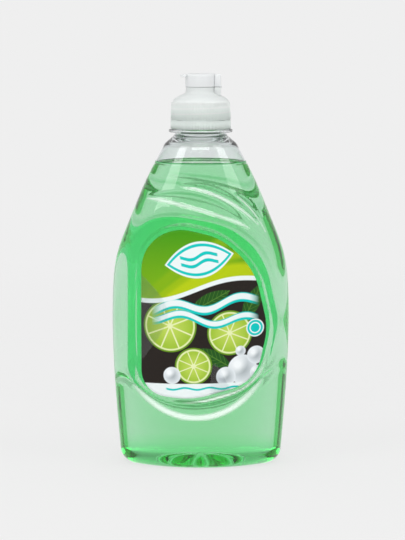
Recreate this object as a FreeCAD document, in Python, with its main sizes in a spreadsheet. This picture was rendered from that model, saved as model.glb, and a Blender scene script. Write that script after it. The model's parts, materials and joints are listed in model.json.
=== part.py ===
# Dish soap bottle: a clear blown bottle on an oval foot, filled with green soap, with a label on each
# face and a ribbed flip-top closure. Millimetres, +Z up, origin under the middle of the foot, front at -Y.
import FreeCAD, Part
import math
import os
import re
import Sketcher
from FreeCAD import Vector

# Sizes

# The body is an oval of four tangent arcs at each of these heights: half width along X, half depth along Y.
# Each station rises from the one below it.
STATIONS = ("foot", "heel", "belly", "crown", "chest", "slope", "taper", "collar", "shoulder")

SIZES = {
    "foot_height": 7.5,
    "foot_half_width": 41.9,
    "foot_half_depth": 26.0,
    "heel_rise": 18.5,
    "heel_half_width": 43.5,
    "heel_half_depth": 27.2,
    "belly_rise": 36.0,
    "belly_half_width": 45.75,
    "belly_half_depth": 28.0,
    "crown_rise": 30.0,
    "crown_half_width": 45.6,
    "crown_half_depth": 27.9,
    "chest_rise": 18.0,
    "chest_half_width": 43.1,
    "chest_half_depth": 27.1,
    "slope_rise": 18.0,
    "slope_half_width": 36.4,
    "slope_half_depth": 25.4,
    "taper_rise": 17.0,
    "taper_half_width": 29.4,
    "taper_half_depth": 22.9,
    "collar_rise": 12.5,
    "collar_half_width": 23.3,
    "collar_half_depth": 20.3,
    "shoulder_rise": 8.9,
    "shoulder_half_width": 18.5,
    # Where a side arc meets a face arc, as an angle from the X axis in degrees
    "join_angle": 50.0,
    "wall": 0.5,
    # The dome pushed up into the foot, as the ellipsoid that cuts it
    "dome_half_width": 33.0,
    "dome_half_depth": 16.0,
    "dome_rise": 9.0,
    "dome_sink": 4.0,
    "gate_radius": 2.0,
    "gate_drop": 0.6,
    # Relief on both faces
    "relief_depth": 0.9,
    "relief_reach": 40.0,
    "panel_margin": 2.6,
    "tip_stretch": 6.0,
    # Label film, and its outline's box on the face
    "label_thickness": 0.12,
    "label_width": 63.6,
    "label_height": 85.4,
    "label_centre_across": 1.4,
    "label_centre_rise": 19.2,
    # Swept bands above and below the label: each is a lens between two arcs, given by its ends, counted up
    # from the label's centre, and how far its upper and lower arcs rise over the straight line between them
    "ridge_start_across": -27.0,
    "ridge_start_rise": 58.4,
    "ridge_end_across": 24.0,
    "ridge_end_rise": 44.2,
    "ridge_upper_sag": 8.4,
    "ridge_lower_sag": 1.6,
    "wave_start_across": -10.0,
    "wave_start_rise": 65.0,
    "wave_end_across": 29.4,
    "wave_end_rise": 45.2,
    "wave_upper_sag": 6.4,
    "wave_lower_sag": 3.6,
    "comet_start_across": 18.0,
    "comet_start_rise": 60.2,
    "comet_end_across": 33.2,
    "comet_end_rise": 41.4,
    "comet_upper_sag": 3.0,
    "comet_lower_sag": 1.2,
    "smile_start_across": -34.0,
    "smile_start_rise": -37.7,
    "smile_end_across": 31.0,
    "smile_end_rise": -34.7,
    "smile_upper_sag": -12.2,
    "smile_lower_sag": -18.6,
    "fill_rise": 11.5,
    # Neck, for a closure of 28 mm
    "bore_radius": 10.86,
    "neck_wall": 2.34,
    "flare_rise": 4.5,
    "ring_overhang": 3.3,
    "neck_rise": 1.3,
    "ring_thickness": 1.6,
    "finish_wall": 1.64,
    "bead_overhang": 1.4,
    "bead_rise": 3.1,
    "bead_thickness": 1.3,
    "finish_length": 13.2,
    # Tamper band
    "running_gap": 0.1,
    "break_gap": 0.3,
    "band_height": 4.7,
    "band_lip_gap": 0.5,
    "band_lip_height": 1.8,
    # Closure
    "skirt_gap": 0.4,
    "shoulder_edge_wall": 0.65,
    "shoulder_edge_rise": 2.0,
    "shoulder_rounding": 4.5,
    "turret_radius": 7.6,
    "turret_foot_rise": 3.3,
    "turret_rounding": 2.2,
    "turret_rise": 3.1,
    "cap_wall": 1.2,
    "plug_gap": 0.26,
    "plug_wall": 1.0,
    "plug_depth": 2.5,
    "spout_taper": 0.4,
    "spout_tip_wall": 1.15,
    "spout_height": 3.0,
    "orifice_radius": 1.75,
    "knurl_count": 120,
    "knurl_depth": 0.25,
    "hinge_overhang": 2.6,
    "hinge_width": 8.0,
    "hinge_foot_rise": 0.7,
    # Lid
    "parting_gap": 0.15,
    "lid_overhang": 0.3,
    "lid_height": 6.7,
    "lid_wall": 1.0,
    "lid_crown": 0.4,
    "lid_rounding": 0.6,
    "pin_gap": 0.45,
    "pin_reach": 1.1,
    "tab_length": 2.7,
    "tab_width": 9.0,
    "tab_thickness": 1.3,
    "film_width": 7.0,
    "film_thickness": 0.35,
    "film_height": 1.8,
}

# The label's corners, anticlockwise: shares of its half width and half height from its centre, and the
# radius in millimetres that rounds each
LABEL_CORNERS = (
    (-1.00, 1.12, 21.0),
    (-1.00, -0.98, 13.0),
    (-0.20, -1.04, 50.0),
    (0.84, -0.84, 20.0),
    (1.04, -0.20, 32.0),
    (0.82, 0.53, 38.0),
    (0.26, 0.91, 32.0),
)

# Degrees of turn at which the foot's corner has an oval, from the wall round to the ground
CORNER_TURNS = (0, 18, 36, 54, 72, 90)

LENSES = ("ridge", "wave", "comet", "smile")

# Heights and radii that are counted from what carries them: each is the sum of these
SUMS = {
    **{f"{name}_height": (f"{below}_height", f"{name}_rise") for below, name in zip(STATIONS, STATIONS[1:])},
    "shoulder_half_depth": ("shoulder_half_width",),
    "label_centre_up": ("belly_height", "label_centre_rise"),
    **{
        f"{lens}_{end}_up": ("label_centre_up", f"{lens}_{end}_rise")
        for lens in LENSES
        for end in ("start", "end")
    },
    "soap_level": ("taper_height", "fill_rise"),
    "neck_start": ("shoulder_height", "flare_rise"),
    "ring_bottom": ("neck_start", "neck_rise"),
    "ring_top": ("ring_bottom", "ring_thickness"),
    "bead_bottom": ("ring_top", "bead_rise"),
    "bead_top": ("bead_bottom", "bead_thickness"),
    "mouth_height": ("ring_top", "finish_length"),
    "neck_radius": ("bore_radius", "neck_wall"),
    "ring_radius": ("neck_radius", "ring_overhang"),
    "finish_radius": ("bore_radius", "finish_wall"),
    "bead_radius": ("finish_radius", "bead_overhang"),
    "band_lip_radius": ("finish_radius", "band_lip_gap"),
    "band_bottom": ("ring_top", "running_gap"),
    "band_top": ("band_bottom", "band_height"),
    "skirt_bottom": ("band_top", "break_gap"),
    "skirt_inner_radius": ("bead_radius", "skirt_gap"),
    "skirt_radius": ("skirt_inner_radius", "cap_wall"),
    "deck": ("mouth_height", "running_gap"),
    "shoulder_edge_radius": ("skirt_inner_radius", "shoulder_edge_wall"),
    "shoulder_edge_height": ("deck", "shoulder_edge_rise"),
    "turret_foot_height": ("shoulder_edge_height", "turret_foot_rise"),
    "parting_height": ("turret_foot_height", "turret_rise"),
    "spout_tip_radius": ("orifice_radius", "spout_tip_wall"),
    "spout_radius": ("spout_tip_radius", "spout_taper"),
    "hinge_foot_height": ("shoulder_edge_height", "hinge_foot_rise"),
    "lid_radius": ("turret_radius", "lid_overhang"),
    "lid_bottom": ("parting_height", "parting_gap"),
    "lid_top": ("parting_height", "lid_height"),
    "hinge_reach": ("lid_radius", "hinge_overhang"),
    "tab_reach": ("lid_radius", "tab_length"),
}

doc = FreeCAD.newDocument("dish_soap_bottle")
sheet = doc.addObject("Spreadsheet::Sheet", "sizes")
for row, (name, size) in enumerate(SIZES.items(), start=1):
    sheet.set(f"A{row}", name)
    sheet.set(f"B{row}", str(size))
    sheet.setAlias(f"B{row}", name)
doc.recompute()


# Helpers


def bound(formula):
    """A formula of size names, written for the sheet."""

    def written(match):
        name = match[0]
        if name in SUMS:
            return f"({bound(' + '.join(SUMS[name]))})"
        return f"sizes.{name}" if name in SIZES else name

    return re.sub(r"[a-z][a-z_]*", written, formula)


def size(name):
    return sum(size(part) for part in SUMS[name]) if name in SUMS else float(sheet.get(name))


def bind(thing, **formulas):
    for name, formula in formulas.items():
        thing.setExpression(name.replace("__", "."), bound(formula))
    return thing


def new_body(name):
    return doc.addObject("PartDesign::Body", name)


def new_sketch(body, name, plane, lift=None):
    """A sketch on one of the body's own origin planes, raised by a formula along the plane's normal."""
    sketch = body.newObject("Sketcher::SketchObject", name)
    origin_plane = next(f for f in body.Origin.OriginFeatures if f.Role == plane)
    sketch.AttachmentSupport = (origin_plane, [""])
    sketch.MapMode = "FlatFace"
    if lift is not None:
        bind(sketch, AttachmentOffset__Base__z=lift)
    return sketch


def place(sketch, curve, end, formulas, label):
    """Binds one end point of a curve to formulas for its place across and up."""
    spot = sketch.getPoint(curve, end)
    for word, axis, now, formula in zip(("DistanceX", "DistanceY"), (-2, -1), spot[:2], formulas):
        if formula == "0":
            sketch.addConstraint(Sketcher.Constraint("PointOnObject", curve, end, axis))
            continue
        number = sketch.addConstraint(Sketcher.Constraint(word, -1, 1, curve, end, now))
        sketch.renameConstraint(number, f"{label}_{word[-1]}")
        sketch.setExpression(f"Constraints.{label}_{word[-1]}", bound(formula))


def polygon(body, name, plane, corners, lift=None):
    """A closed outline whose corners are pairs of formulas."""
    sketch = new_sketch(body, name, plane, lift)
    count = len(corners)
    first_guess = [Vector(20 * math.cos(i), 20 * math.sin(i), 0) for i in range(count)]
    for i in range(count):
        sketch.addGeometry(Part.LineSegment(first_guess[i], first_guess[(i + 1) % count]))
    for i in range(count):
        sketch.addConstraint(Sketcher.Constraint("Coincident", i, 2, (i + 1) % count, 1))
    for i, corner in enumerate(corners):
        place(sketch, i, 1, corner, f"corner{i}")
    return sketch


def rounding(body, name, base, picked, formula):
    """A fillet on the edges of base that the test picks."""
    base.recompute(True)
    names = [f"Edge{i}" for i, edge in enumerate(base.Shape.Edges, start=1) if picked(edge)]
    fillet = body.newObject("PartDesign::Fillet", name)
    fillet.Base = (base, names)
    return bind(fillet, Radius=formula)


def ring_at(radius, height):
    """A test for the round edge of this radius at this height."""

    def picked(edge):
        curve = edge.Curve
        return (
            isinstance(curve, Part.Circle)
            and abs(curve.Radius - radius) < 0.01
            and abs(curve.Center.z - height) < 0.01
        )

    return picked


def revolved(body, name, corners):
    """The outline of radius and height turned about the Z axis."""
    sketch = polygon(body, f"{name}_profile", "XZ_Plane", corners)
    turn = body.newObject("PartDesign::Revolution", name)
    turn.Profile = sketch
    turn.ReferenceAxis = (sketch, ["V_Axis"])
    turn.Angle = 360
    return turn


def padded(body, name, sketch, length, both_ways=False):
    pad = body.newObject("PartDesign::Pad", name)
    pad.Profile = sketch
    pad.Midplane = both_ways
    return bind(pad, Length=length)


def boolean(kind, name, base, *tools):
    """A cut, a common or a fuse of document objects."""
    if kind == "fuse":
        made = doc.addObject("Part::MultiFuse", name)
        made.Shapes = [base, *tools]
        return made
    made = doc.addObject(f"Part::{kind.capitalize()}", name)
    made.Base = base
    made.Tool = tools[0]
    return made


# The blown body: lofts of ovals


def oval_sketch(body, name, station, height, inset, inset_now):
    """One station's oval, moved inwards by inset: two side arcs and two face arcs, tangent where they meet.
    The arcs are drawn with the inset as it is now, and then bound to its formula."""
    sketch = new_sketch(body, name, "XY_Plane", height)
    wide, deep = f"{station}_half_width", f"{station}_half_depth"
    offset = f"({wide} - {deep}) / (sin(join_angle) + cos(join_angle) - 1)"
    side = f"{wide} - {offset} * cos(join_angle) - ({inset})"
    face = f"{deep} + {offset} * sin(join_angle) - ({inset})"

    angle = math.radians(size("join_angle"))
    a, b = size(wide), size(deep)
    spread = (a - b) / (math.sin(angle) + math.cos(angle) - 1)
    side_radius, face_radius = a - spread * math.cos(angle), b + spread * math.sin(angle)
    arcs = (
        (Vector(a - side_radius, 0, 0), side_radius, -angle, angle),
        (Vector(0, b - face_radius, 0), face_radius, angle, math.pi - angle),
        (Vector(side_radius - a, 0, 0), side_radius, math.pi - angle, math.pi + angle),
        (Vector(0, face_radius - b, 0), face_radius, math.pi + angle, 2 * math.pi - angle),
    )
    for centre, radius, start, end in arcs:
        circle = Part.Circle(centre, Vector(0, 0, 1), radius - inset_now)
        sketch.addGeometry(Part.ArcOfCircle(circle, start, end))
    for i in range(4):
        sketch.addConstraint(Sketcher.Constraint("Coincident", i, 2, (i + 1) % 4, 1))
    sketch.addConstraint(Sketcher.Constraint("Symmetric", 0, 1, 0, 2, -1))
    sketch.addConstraint(Sketcher.Constraint("Symmetric", 1, 1, 1, 2, -2))
    sketch.addConstraint(Sketcher.Constraint("Symmetric", 3, 1, 3, 2, -2))
    place(sketch, 0, 2, (f"({face}) * cos(join_angle)", f"({side}) * sin(join_angle)"), "join")
    for curve, twin, formula, label in ((0, 2, side, "side_radius"), (1, 3, face, "face_radius")):
        sketch.addConstraint(Sketcher.Constraint("Equal", curve, twin))
        radius_now = arcs[curve][1] - inset_now
        number = sketch.addConstraint(Sketcher.Constraint("Radius", curve, radius_now))
        sketch.renameConstraint(number, label)
        sketch.setExpression(f"Constraints.{label}", bound(formula))
    return sketch


def lofted(body, name, sketches, ruled=False):
    loft = body.newObject("PartDesign::AdditiveLoft", name)
    loft.Profile = sketches[0]
    loft.Sections = sketches[1:]
    loft.Ruled = ruled
    loft.Closed = False
    return loft


def body_form(name, *inset_sizes):
    """The body's outside moved inwards by some sizes: the wall from foot to shoulder, and the foot's corner."""
    body = new_body(name)
    inset = " + ".join(inset_sizes) or "0"
    inset_now = sum(size(word) for word in inset_sizes)
    wall_ovals = [
        oval_sketch(body, f"{name}_{station}", station, f"{station}_height", inset, inset_now)
        for station in STATIONS
    ]
    lofted(body, f"{name}_wall", wall_ovals)
    corner = f"(foot_height - ({inset}))"
    corner_now = size("foot_height") - inset_now
    corner_ovals = [
        oval_sketch(
            body,
            f"{name}_corner_{turn}",
            STATIONS[0],
            f"foot_height - {corner} * sin({turn})",
            f"{inset} + {corner} * (1 - cos({turn}))",
            inset_now + corner_now * (1 - math.cos(math.radians(turn))),
        )
        for turn in CORNER_TURNS
    ]
    lofted(body, f"{name}_corner", corner_ovals, ruled=True)
    return body


def wire_feature(name, wire):
    feature = doc.addObject("Part::Feature", name)
    feature.Shape = wire
    return feature


def rounded_outline(corners, margin):
    """A closed wire of straight sides and tangent arcs round corners of place and radius, grown by margin."""
    count = len(corners)
    arcs = []
    for i, (corner, radius) in enumerate(corners):
        back = (corners[i - 1][0] - corner).normalize()
        ahead = (corners[(i + 1) % count][0] - corner).normalize()
        inward = (back + ahead).normalize()
        half = back.getAngle(ahead) / 2
        tip = corner - inward * (margin / math.sin(half))
        reach = (radius + margin) / math.tan(half)
        middle = tip + inward * (radius + margin) * (1 / math.sin(half) - 1)
        arcs.append((tip + back * reach, middle, tip + ahead * reach))
    edges = []
    for i, arc in enumerate(arcs):
        edges.append(Part.Arc(*arc).toShape())
        edges.append(Part.LineSegment(arc[2], arcs[(i + 1) % count][0]).toShape())
    return Part.Wire(edges)


def label_outline(name, margin):
    """The label's outline in the XZ plane, grown by margin."""
    half_width, half_height = size("label_width") / 2, size("label_height") / 2
    across, up = size("label_centre_across"), size("label_centre_up")
    corners = [(Vector(across + half_width * u, 0, up + half_height * v), r) for u, v, r in LABEL_CORNERS]
    return wire_feature(name, rounded_outline(corners, margin))


def through(name, outline, side=0):
    """A prism of the outline through both faces, or from the middle through the face on one side."""
    prism = doc.addObject("Part::Extrusion", name)
    prism.Base = outline
    prism.DirMode = "Custom"
    prism.Dir = Vector(0, side or 1, 0)
    prism.Solid = True
    prism.Symmetric = side == 0
    return bind(prism, LengthFwd="relief_reach" if side else "2 * relief_reach")


def lens_prism(name, lens, *grown_sizes):
    """A band between two arcs that share their ends, right through both faces and grown all round by some sizes.
    A grown band keeps its distance round the sharp ends too: each end moves out along the way the arcs meet,
    tip_stretch times as far along the line between the ends, and the sags make up for what it drops."""
    body = new_body(name)
    sketch = new_sketch(body, f"{name}_outline", "XZ_Plane")
    grown = " + ".join(grown_sizes) or "0"
    run = f"({lens}_end_across - {lens}_start_across)"
    rise = f"({lens}_end_up - {lens}_start_up)"
    chord = f"sqrt({run}^2 + {rise}^2)"
    stretch = f"(tip_stretch * ({grown}))"
    drop = f"({stretch} * 2 * ({lens}_upper_sag + {lens}_lower_sag) / {chord})"
    ends = {
        "start": (
            f"{lens}_start_across - {stretch} * {run} / {chord} + {drop} * {rise} / {chord}",
            f"{lens}_start_up - {stretch} * {rise} / {chord} - {drop} * {run} / {chord}",
        ),
        "end": (
            f"{lens}_end_across + {stretch} * {run} / {chord} + {drop} * {rise} / {chord}",
            f"{lens}_end_up + {stretch} * {rise} / {chord} - {drop} * {run} / {chord}",
        ),
    }

    start, end = (Vector(size(f"{lens}_{word}_across"), size(f"{lens}_{word}_up"), 0) for word in ends)
    along = (end - start).normalize()
    upward = Vector(-along.y, along.x, 0)
    sags = {word: size(f"{lens}_{word}_sag") for word in ("upper", "lower")}
    grown_now = sum(size(word) for word in grown_sizes)
    stretch_now = size("tip_stretch") * grown_now
    drop_now = stretch_now * 2 * sum(sags.values()) / (end - start).Length
    start = start - along * stretch_now - upward * drop_now
    end = end + along * stretch_now - upward * drop_now
    for word, sign in (("upper", 1), ("lower", -1)):
        middle = (start + end) * 0.5 + upward * (sags[word] + sign * grown_now + drop_now)
        sketch.addGeometry(Part.Arc(start, middle, end))
    for word, spot in (("start", start), ("end", end)):
        held = [(c, 1 if (sketch.getPoint(c, 1) - spot).Length < 0.001 else 2) for c in (0, 1)]
        sketch.addConstraint(Sketcher.Constraint("Coincident", *held[0], *held[1]))
        place(sketch, *held[0], ends[word], word)
    for curve, word, sign in ((0, "upper", "+"), (1, "lower", "-")):
        sag = f"abs({lens}_{word}_sag {sign} ({grown}) + {drop})"
        number = sketch.addConstraint(Sketcher.Constraint("Radius", curve, sketch.Geometry[curve].Radius))
        sketch.renameConstraint(number, f"{word}_radius")
        formula = f"(({chord} + 2 * {stretch})^2 / 4 + ({sag})^2) / (2 * {sag})"
        sketch.setExpression(f"Constraints.{word}_radius", bound(formula))
    padded(body, f"{name}_pad", sketch, "2 * relief_reach", both_ways=True)
    return body


def dome(name, *grown_sizes):
    """The ellipsoid that pushes the foot up."""
    egg = doc.addObject("Part::Ellipsoid", name)
    grown = " + ".join(grown_sizes) or "0"
    egg.Angle1, egg.Angle2, egg.Angle3 = -90, 90, 360
    bind(
        egg,
        Radius1=f"dome_rise + {grown}",
        Radius2=f"dome_half_width + {grown}",
        Radius3=f"dome_half_depth + {grown}",
        Placement__Base__z="-dome_sink",
    )
    return egg


def relieved(name, prisms, *inset_sizes):
    """A body form with the relief sunk into both faces and the dome into its foot."""
    form = body_form(f"{name}_form", *inset_sizes)
    floor = body_form(f"{name}_relief_floor", *inset_sizes, "relief_depth")
    relief = boolean("cut", f"{name}_relief", prisms, floor)
    sunk = boolean("cut", f"{name}_sunk", form, relief)
    return boolean("cut", name, sunk, dome(f"{name}_dome", *inset_sizes))


def neck():
    """Flare, support ring, finish and tamper bead, solid inside."""
    body = new_body("neck_outside")
    revolved(
        body,
        "neck_turn",
        (
            ("0", "shoulder_height"),
            ("shoulder_half_width", "shoulder_height"),
            ("neck_radius", "neck_start"),
            ("neck_radius", "ring_bottom"),
            ("ring_radius", "ring_bottom"),
            ("ring_radius", "ring_top"),
            ("finish_radius", "ring_top"),
            ("finish_radius", "bead_bottom"),
            ("bead_radius", "bead_bottom"),
            ("finish_radius", "bead_top"),
            ("finish_radius", "mouth_height"),
            ("0", "mouth_height"),
        ),
    )
    return body


def bore():
    """The way out of the body: the flare's inside and the straight bore."""
    body = new_body("neck_inside")
    revolved(
        body,
        "bore_turn",
        (
            ("0", "shoulder_height"),
            ("shoulder_half_width - wall", "shoulder_height"),
            ("bore_radius", "neck_start"),
            ("bore_radius", "mouth_height + wall"),
            ("0", "mouth_height + wall"),
        ),
    )
    return body


def seat_face(floor):
    """The skin of the relief's floor, which the labels lie on."""
    floor.recompute(True)
    skins = [face for face in floor.Shape.Faces if face.BoundBox.ZMax > size("belly_height")]
    return wire_feature("label_seat", Part.makeShell(skins))


def film(name, seat, side):
    """A thin film on the seat inside the label's outline, thickened outwards from the middle of the body."""
    patch = boolean("common", f"{name}_patch", seat, through(f"{name}_prism", outline, side))
    label = doc.addObject("Part::Extrusion", name)
    label.Base = patch
    label.DirMode = "Custom"
    label.Dir = Vector(0, side, 0)
    return bind(label, LengthFwd="label_thickness")


def gate_mark():
    """The small round mark that the mould leaves in the middle of the foot."""
    nub = doc.addObject("Part::Cylinder", "gate_mark")
    return bind(
        nub,
        Radius="gate_radius",
        Height="gate_drop + wall / 2",
        Placement__Base__z="dome_rise - dome_sink - gate_drop",
    )


def fill_block():
    """The space below the level that the soap is filled to."""
    block = doc.addObject("Part::Box", "fill_block")
    return bind(
        block,
        Length="4 * relief_reach",
        Width="2 * relief_reach",
        Height="soap_level",
        Placement__Base__x="-2 * relief_reach",
        Placement__Base__y="-relief_reach",
    )


# The closure


def toothed_wire(radius, height):
    """A closed zigzag, with a tooth for each rib of the grip."""
    count = int(size("knurl_count"))
    crest, root = radius + size("knurl_depth") / 2, radius - size("knurl_depth")
    turns = [math.pi * i / count for i in range(2 * count)]
    reach = [crest, root] * count
    points = [Vector(r * math.cos(t), r * math.sin(t), height) for r, t in zip(reach, turns)]
    return Part.makePolygon([*points, points[0]])


def grip_grooves(name, bottom, top, bottom_radius, top_radius):
    """What is cut away between the ribs of a grip whose outside tapers from one radius to the other."""
    ribs = Part.makeLoft([toothed_wire(bottom_radius, bottom), toothed_wire(top_radius, top)], True, True)
    outer = bottom_radius + 5
    sleeve = Part.makeCylinder(outer, top - bottom, Vector(0, 0, bottom))
    return wire_feature(name, sleeve.cut(ribs))


def tamper_band():
    """The ring that the opened closure leaves on the neck, held under the bead by its inner lip."""
    body = new_body("band_ring")
    revolved(
        body,
        "band_turn",
        (
            ("skirt_radius", "band_bottom"),
            ("skirt_radius", "band_top"),
            ("skirt_inner_radius", "band_top"),
            ("skirt_inner_radius", "band_bottom + band_lip_height"),
            ("band_lip_radius", "band_bottom + band_lip_height"),
            ("band_lip_radius", "band_bottom + band_lip_height / 2"),
            ("skirt_inner_radius", "band_bottom"),
        ),
    )
    bottom, top = size("band_bottom"), size("band_top")
    radius = size("skirt_radius")
    grooves = grip_grooves("band_grooves", bottom - 1, top + 1, radius, radius)
    return boolean("cut", "tamper_band", body, grooves)


def screw_cap():
    """Ribbed skirt, shoulder, turret with the spout, plug ring in the bore and the hinge's pedestal."""
    body = new_body("cap_moulding")
    turn = revolved(
        body,
        "cap_turn",
        (
            ("skirt_radius", "skirt_bottom"),
            ("shoulder_edge_radius", "shoulder_edge_height"),
            ("turret_radius", "turret_foot_height"),
            ("turret_radius", "parting_height"),
            ("spout_radius", "parting_height"),
            ("spout_tip_radius", "parting_height + spout_height"),
            ("orifice_radius", "parting_height + spout_height"),
            ("orifice_radius", "parting_height - cap_wall"),
            ("turret_radius - cap_wall", "parting_height - cap_wall"),
            ("turret_radius - cap_wall", "turret_foot_height - cap_wall"),
            ("bore_radius - plug_gap - plug_wall", "turret_foot_height - 2 * cap_wall"),
            ("bore_radius - plug_gap - plug_wall", "deck - plug_depth"),
            ("bore_radius - plug_gap", "deck - plug_depth"),
            ("bore_radius - plug_gap", "deck"),
            ("skirt_inner_radius", "deck"),
            ("skirt_inner_radius", "skirt_bottom"),
        ),
    )
    edge = (size("shoulder_edge_radius"), size("shoulder_edge_height"))
    shoulder = rounding(body, "cap_shoulder", turn, ring_at(*edge), "shoulder_rounding")
    foot = (size("turret_radius"), size("turret_foot_height"))
    rounding(body, "turret_foot", shoulder, ring_at(*foot), "turret_rounding")
    side = polygon(
        body,
        "pedestal_side",
        "XZ_Plane",
        (
            ("turret_radius - cap_wall / 2", "parting_height"),
            ("hinge_reach", "parting_height"),
            ("hinge_reach", "hinge_foot_height"),
            ("turret_radius - cap_wall / 2", "turret_foot_height - cap_wall / 2"),
        ),
    )
    padded(body, "pedestal", side, "hinge_width", both_ways=True)

    bottom, top = size("skirt_bottom"), size("turret_foot_height")
    radius, edge_radius, edge_height = size("skirt_radius"), *edge
    taper = (radius - edge_radius) / (edge_height - bottom)
    grooves = grip_grooves(
        "cap_grooves", bottom - 1, top, radius + taper, radius - taper * (top - bottom)
    )
    # The grooves run out where the shoulder curves in under their roots, so they stop short of the turret
    return boolean("cut", "screw_cap", body, grooves)


def flip_lid():
    """The lid: a cup with a pin that closes the orifice, a thumb tab in front of it and a hinge lug behind."""
    body = new_body("lid_moulding")
    turn = revolved(
        body,
        "lid_turn",
        (
            ("lid_radius", "lid_bottom"),
            ("lid_radius", "lid_top"),
            ("0", "lid_top + lid_crown"),
            ("0", "parting_height + spout_height - pin_reach"),
            ("orifice_radius - pin_gap", "parting_height + spout_height - pin_reach"),
            ("orifice_radius - pin_gap", "lid_top - lid_wall"),
            ("lid_radius - lid_wall", "lid_top - lid_wall"),
            ("lid_radius - lid_wall", "lid_bottom"),
        ),
    )
    lug = polygon(
        body,
        "lug_side",
        "XZ_Plane",
        (
            ("lid_radius - lid_wall / 2", "lid_bottom"),
            ("hinge_reach", "lid_bottom"),
            ("hinge_reach", "lid_top - lid_rounding"),
            ("hinge_reach - lid_rounding", "lid_top"),
            ("lid_radius - lid_wall / 2", "lid_top"),
        ),
    )
    rim = (size("lid_radius"), size("lid_top"))
    rounding(body, "lid_rim", turn, ring_at(*rim), "lid_rounding")
    padded(body, "hinge_lug", lug, "hinge_width", both_ways=True)
    tab = polygon(
        body,
        "tab_plan",
        "XY_Plane",
        (
            ("-(lid_radius - lid_wall / 2)", "-tab_width / 2"),
            ("-(tab_reach - tab_thickness)", "-tab_width / 2"),
            ("-tab_reach", "-tab_width / 4"),
            ("-tab_reach", "tab_width / 4"),
            ("-(tab_reach - tab_thickness)", "tab_width / 2"),
            ("-(lid_radius - lid_wall / 2)", "tab_width / 2"),
        ),
        lift="lid_top - tab_thickness - lid_rounding / 2",
    )
    padded(body, "thumb_tab", tab, "tab_thickness")
    body.Label = "flip_lid"
    return body


def living_hinge():
    """The film that joins the lug to the pedestal, across the parting line."""
    film = doc.addObject("Part::Box", "living_hinge")
    return bind(
        film,
        Length="film_thickness",
        Width="film_width",
        Height="film_height",
        Placement__Base__x="hinge_reach",
        Placement__Base__y="-film_width / 2",
        Placement__Base__z="parting_height + parting_gap / 2 - film_height / 2",
    )


# Assembly

outline = label_outline("label_outline", 0)
panel_outline = label_outline("panel_outline", size("panel_margin"))
panel_outline_inside = label_outline("panel_outline_inside", size("panel_margin") + size("wall"))

relief_prisms = boolean(
    "fuse",
    "relief_prisms",
    through("panel_prism", panel_outline),
    *[lens_prism(f"{lens}_prism", lens) for lens in LENSES],
)
relief_prisms_inside = boolean(
    "fuse",
    "relief_prisms_inside",
    through("panel_prism_inside", panel_outline_inside),
    *[lens_prism(f"{lens}_prism_inside", lens, "wall") for lens in LENSES],
)
outside = relieved("outside", relief_prisms)
inside = relieved("inside", relief_prisms_inside, "wall")
shell = boolean("fuse", "shell", outside, neck(), gate_mark())
void = boolean("fuse", "void", inside, bore())
bottle = boolean("cut", "bottle", shell, void)

dish_soap = boolean("common", "dish_soap", inside, fill_block())

label_seat = seat_face(doc.getObject("outside_relief_floor"))
front_label = film("front_label", label_seat, -1)
back_label = film("back_label", label_seat, 1)

subparts = [
    bottle,
    dish_soap,
    front_label,
    back_label,
    tamper_band(),
    screw_cap(),
    flip_lid(),
    living_hinge(),
]

doc.recompute()
for thing in doc.Objects:
    if {"Invalid", "Error"} & set(thing.State):
        raise RuntimeError(f"{thing.Name}: {thing.State} {thing.getStatusString()}")
for part in subparts:
    shape = part.Shape
    if shape.isNull() or not shape.isValid():
        raise RuntimeError(f"{part.Label} has no valid shape")
os.makedirs("parts", exist_ok=True)
for part in subparts:
    shape = part.Shape
    box = shape.optimalBoundingBox()
    shape.exportStep(f"parts/{part.Label}.step")
    print(f"{part.Label}: {len(shape.Solids)} solid, {shape.Volume / 1000:.2f} ml, top {box.ZMax:.1f}")
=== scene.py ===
# %% [markdown]
# # A dish soap bottle, in cells
# A clear, flat-sided bottle full of green soap stands on a pale floor. It has a label on each face and a
# flip-top closure of milky plastic. Each markdown cell says what a piece is on the real bottle, how it could
# be made in Blender, and why this way was taken. The frame comes first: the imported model, in metres, whose
# bodies carry every piece that is made here.

# %% Load the frame
import json
import math

import bmesh
import bpy
import numpy as np
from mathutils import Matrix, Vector

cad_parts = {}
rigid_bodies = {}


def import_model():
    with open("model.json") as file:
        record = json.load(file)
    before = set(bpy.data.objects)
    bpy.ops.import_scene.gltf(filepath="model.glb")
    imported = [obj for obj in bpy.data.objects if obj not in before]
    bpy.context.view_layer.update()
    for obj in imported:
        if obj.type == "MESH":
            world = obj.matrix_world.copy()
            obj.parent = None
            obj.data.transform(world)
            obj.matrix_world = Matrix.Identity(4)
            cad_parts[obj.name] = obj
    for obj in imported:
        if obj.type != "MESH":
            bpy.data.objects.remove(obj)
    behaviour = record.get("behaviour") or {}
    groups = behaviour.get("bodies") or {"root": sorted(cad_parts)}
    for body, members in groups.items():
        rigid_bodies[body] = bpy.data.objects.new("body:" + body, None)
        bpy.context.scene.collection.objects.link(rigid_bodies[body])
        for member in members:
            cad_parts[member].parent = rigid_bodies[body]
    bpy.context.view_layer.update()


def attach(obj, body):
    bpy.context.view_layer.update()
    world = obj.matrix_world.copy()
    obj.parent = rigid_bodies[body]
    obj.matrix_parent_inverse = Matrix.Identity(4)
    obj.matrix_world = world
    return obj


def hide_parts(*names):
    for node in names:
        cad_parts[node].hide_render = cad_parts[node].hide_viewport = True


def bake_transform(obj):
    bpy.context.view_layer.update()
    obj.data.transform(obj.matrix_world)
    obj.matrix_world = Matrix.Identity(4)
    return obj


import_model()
MM = 0.001

# %% [markdown]
# ## The body's form in numbers
# The blown body is an oval of four arcs that changes with height. Lofting curves would work, but a rule
# gives a finer and cleaner mesh: two smooth curves give the half width and half depth at each height, and an
# inset moves the skin inwards, for the corner of the foot, the wall, and the relief on the faces.

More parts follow.
